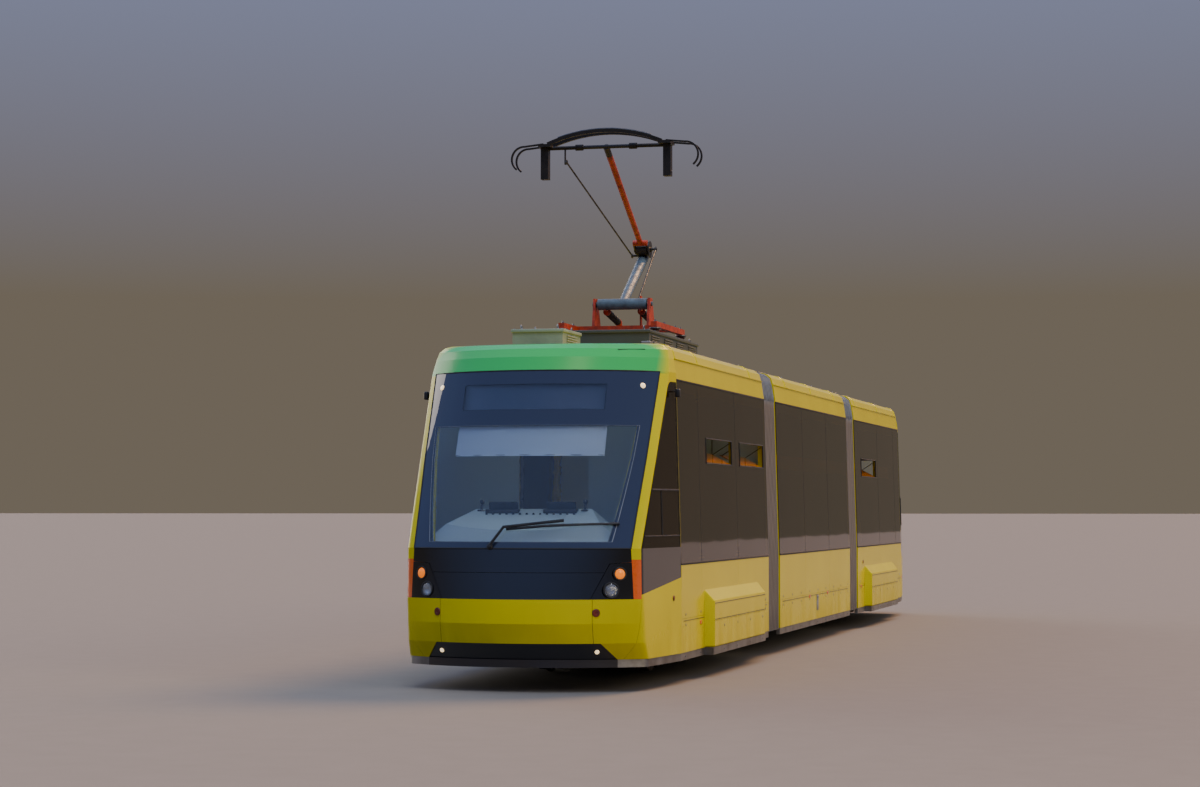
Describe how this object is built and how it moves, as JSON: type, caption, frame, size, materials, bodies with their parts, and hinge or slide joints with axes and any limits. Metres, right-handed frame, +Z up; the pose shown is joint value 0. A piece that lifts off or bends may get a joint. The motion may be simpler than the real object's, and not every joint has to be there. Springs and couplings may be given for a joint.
{
  "type": "three-section articulated low-floor tram",
  "caption": "Articulated low-floor tram with two bellows gangways, bogies under the end sections and a single-arm pantograph.",
  "frame": {"origin": "under the middle of the tram, at the height of the wheel flanges' lowest point", "axes": "+X forward, +Y to the tram's left, +Z up"},
  "size_m": [19.5, 2.69, 5.6448],
  "materials": {
    "body_paint": "gloss",
    "roof_paint": "gloss",
    "interior_panel": "matte",
    "tinted_glass": "gloss",
    "clear_glass": "gloss",
    "black_moulding": "gloss",
    "orange_reflector": "gloss",
    "lamp_lens": "gloss",
    "floor_covering": "matte",
    "aluminium_sill": "satin",
    "seat_plastic": "matte",
    "equipment_grey": "satin",
    "bellows_rubber": "matte",
    "bogie_steel": "matte",
    "wheel_steel": "satin",
    "display_panel": "matte",
    "blind_fabric": "matte",
    "insulator_brown": "gloss",
    "frame_orange": "satin",
    "arm_grey": "satin",
    "head_metal": "satin"
  },
  "bodies": {
    "middle_section": {"mid_sides": "body_paint", "mid_roof": "roof_paint", "mid_bulkheads": "interior_panel", "mid_glazing": "tinted_glass", "mid_doors": "body_paint", "mid_floor": "aluminium_sill", "mid_seats": "seat_plastic", "mid_roof_gear": "equipment_grey", "front_gangway": "bellows_rubber", "rear_gangway": "bellows_rubber"},
    "front_section": {"front_sides": "body_paint", "front_roof": "roof_paint", "front_bulkheads": "interior_panel", "front_glazing": "tinted_glass", "front_windscreen": "clear_glass", "front_door": "body_paint", "front_bumper": "body_paint", "front_mask": "black_moulding", "front_reflectors": "orange_reflector", "front_cab_shell": "body_paint", "front_lamps": "lamp_lens", "front_floor": "floor_covering", "front_low_floor": "aluminium_sill", "front_seats": "seat_plastic", "front_wheel_covers": "body_paint", "front_roof_gear": "equipment_grey", "front_cab": "interior_panel", "front_sign": "display_panel", "front_blind": "blind_fabric", "panto_base": "frame_orange", "panto_insulators": "insulator_brown"},
    "rear_section": {"rear_sides": "body_paint", "rear_roof": "roof_paint", "rear_bulkheads": "interior_panel", "rear_glazing": "tinted_glass", "rear_windscreen": "clear_glass", "rear_door": "body_paint", "rear_bumper": "body_paint", "rear_mask": "black_moulding", "rear_reflectors": "orange_reflector", "rear_cab_shell": "body_paint", "rear_lamps": "lamp_lens", "rear_floor": "floor_covering", "rear_low_floor": "aluminium_sill", "rear_seats": "seat_plastic", "rear_wheel_covers": "body_paint", "rear_roof_gear": "equipment_grey"},
    "front_bogie_frame": {"front_bogie": "bogie_steel"},
    "front_axle_a": {"front_wheelset_a": "wheel_steel"},
    "front_axle_b": {"front_wheelset_b": "wheel_steel"},
    "rear_bogie_frame": {"rear_bogie": "bogie_steel"},
    "rear_axle_a": {"rear_wheelset_a": "wheel_steel"},
    "rear_axle_b": {"rear_wheelset_b": "wheel_steel"},
    "lower_arm": {"panto_lower_arm": "arm_grey"},
    "upper_arm": {"panto_upper_arm": "frame_orange"},
    "thrust_rod": {"panto_thrust_rod": "bogie_steel"},
    "level_rod": {"panto_level_rod": "bogie_steel"},
    "collector_head": {"panto_head": "head_metal"}
  },
  "joints": [
    {"name": "front_articulation", "type": "hinge", "parent": "middle_section", "child": "front_section", "pos_m": [3.125, 0, 0.3], "axis": [0, 0, 1], "range_deg": [-15, 15], "deforming": ["front_gangway"]},
    {"name": "front_bogie_turn", "type": "hinge", "parent": "front_section", "child": "front_bogie_frame", "pos_m": [5.65, 0, 0.4], "axis": [0, 0, 1], "range_deg": [-4, 4]},
    {"name": "front_axle_a_roll", "type": "hinge", "parent": "front_bogie_frame", "child": "front_axle_a", "pos_m": [6.55, 0, 0.32], "axis": [0, 1, 0], "continuous": true},
    {"name": "front_axle_b_roll", "type": "hinge", "parent": "front_bogie_frame", "child": "front_axle_b", "pos_m": [4.75, 0, 0.32], "axis": [0, 1, 0], "continuous": true},
    {"name": "rear_articulation", "type": "hinge", "parent": "middle_section", "child": "rear_section", "pos_m": [-3.125, 0, 0.3], "axis": [0, 0, 1], "range_deg": [-15, 15], "deforming": ["rear_gangway"]},
    {"name": "rear_bogie_turn", "type": "hinge", "parent": "rear_section", "child": "rear_bogie_frame", "pos_m": [-5.65, 0, 0.4], "axis": [0, 0, 1], "range_deg": [-4, 4]},
    {"name": "rear_axle_a_roll", "type": "hinge", "parent": "rear_bogie_frame", "child": "rear_axle_a", "pos_m": [-6.55, 0, 0.32], "axis": [0, 1, 0], "continuous": true},
    {"name": "rear_axle_b_roll", "type": "hinge", "parent": "rear_bogie_frame", "child": "rear_axle_b", "pos_m": [-4.75, 0, 0.32], "axis": [0, 1, 0], "continuous": true},
    {"name": "pantograph_fold", "type": "hinge", "parent": "front_section", "child": "lower_arm", "pos_m": [5.35, 0, 3.87], "axis": [0, -1, 0], "range_deg": [0, 30]},
    {"name": "knee", "type": "hinge", "parent": "lower_arm", "child": "upper_arm", "pos_m": [4.4, 0, 4.55], "axis": [0, -1, 0], "range_deg": [-55, 1]},
    {"name": "head_level", "type": "hinge", "parent": "upper_arm", "child": "collector_head", "pos_m": [6.1, 0, 5.47], "axis": [0, -1, 0], "range_deg": [-1, 25]},
    {"name": "thrust_rod_swing", "type": "hinge", "parent": "front_section", "child": "thrust_rod", "pos_m": [5.1592, 0.134, 3.9398], "axis": [0, -1, 0], "range_deg": [-1, 33]},
    {"name": "level_rod_swing", "type": "hinge", "parent": "lower_arm", "child": "level_rod", "pos_m": [4.3948, -0.118, 4.4837], "axis": [0, -1, 0], "range_deg": [-55.5, 1]}
  ],
  "couplings": [
    {"joint": "knee", "follows": "pantograph_fold", "ratio": -1.81},
    {"joint": "head_level", "follows": "pantograph_fold", "ratio": 0.81},
    {"joint": "thrust_rod_swing", "follows": "pantograph_fold", "ratio": 1.084},
    {"joint": "level_rod_swing", "follows": "pantograph_fold", "ratio": -1.819}
  ]
}
